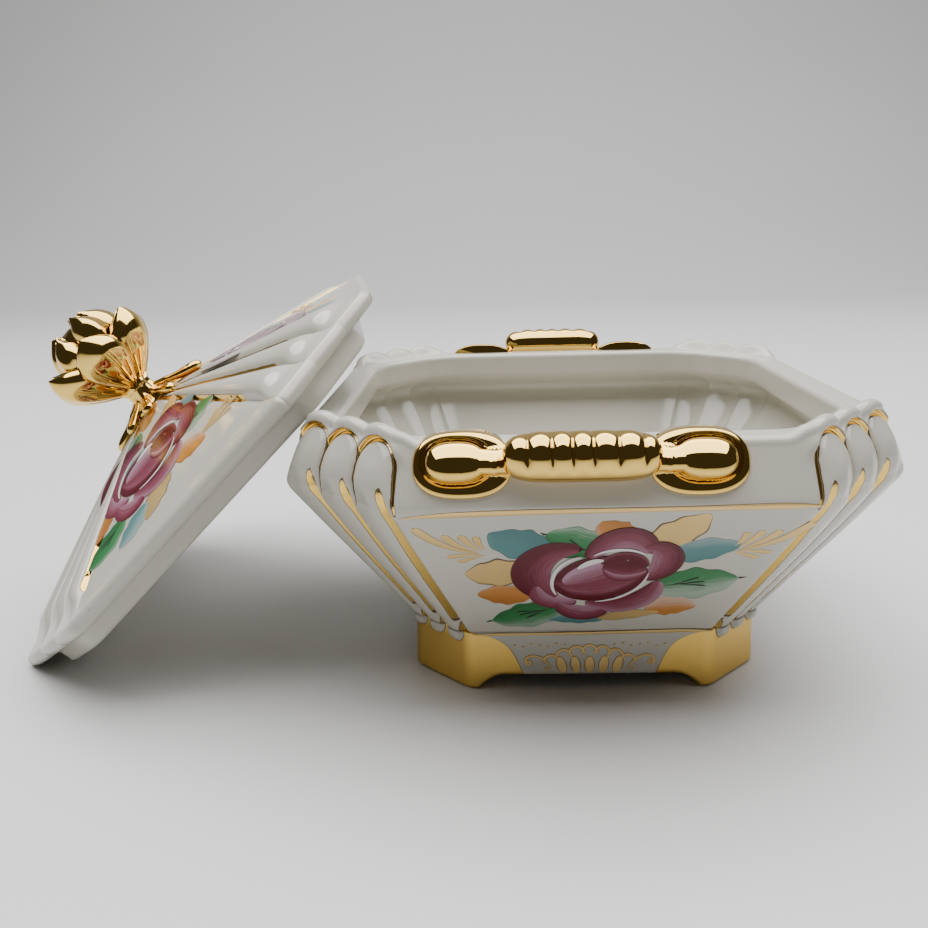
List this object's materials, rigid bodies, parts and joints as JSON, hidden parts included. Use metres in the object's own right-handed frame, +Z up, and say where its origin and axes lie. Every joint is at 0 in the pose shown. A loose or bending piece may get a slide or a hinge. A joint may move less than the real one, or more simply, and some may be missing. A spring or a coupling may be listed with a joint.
{
  "type": "porcelain trinket box",
  "caption": "Square porcelain trinket box with cut fluted corners on a bracket-footed plinth, gilded handles front and back, and a loose pyramid lid with a bud finial leaning against its side.",
  "frame": {"origin": "centre of the bowl's footprint, on the surface that its four bracket feet stand on", "axes": "+Z up through the bowl; -Y towards the front handle; +X to the right; the lid leans on the -X side"},
  "size_m": [0.2106, 0.1476, 0.0878],
  "materials": {
    "glazed_porcelain": "clear gloss glaze",
    "burnished_gilding": "burnished gilding over glaze",
    "gilded_plinth": "glaze with gilded feet"
  },
  "bodies": {
    "bowl_body": {"bowl": "glazed_porcelain", "foot_plinth": "gilded_plinth", "front_grip": "burnished_gilding", "front_left_lug": "burnished_gilding", "front_right_lug": "burnished_gilding", "rear_grip": "burnished_gilding", "rear_left_lug": "burnished_gilding", "rear_right_lug": "burnished_gilding"},
    "lid": {"lid_shell": "glazed_porcelain", "lid_flange": "glazed_porcelain", "finial_calyx": "burnished_gilding", "finial_petals": "burnished_gilding", "finial_bud": "burnished_gilding"}
  },
  "joints": [
    {"name": "lid_lift", "type": "slide", "parent": "bowl_body", "child": "lid", "axis": [0, 0, 1], "range_m": [0, 0.12]}
  ]
}
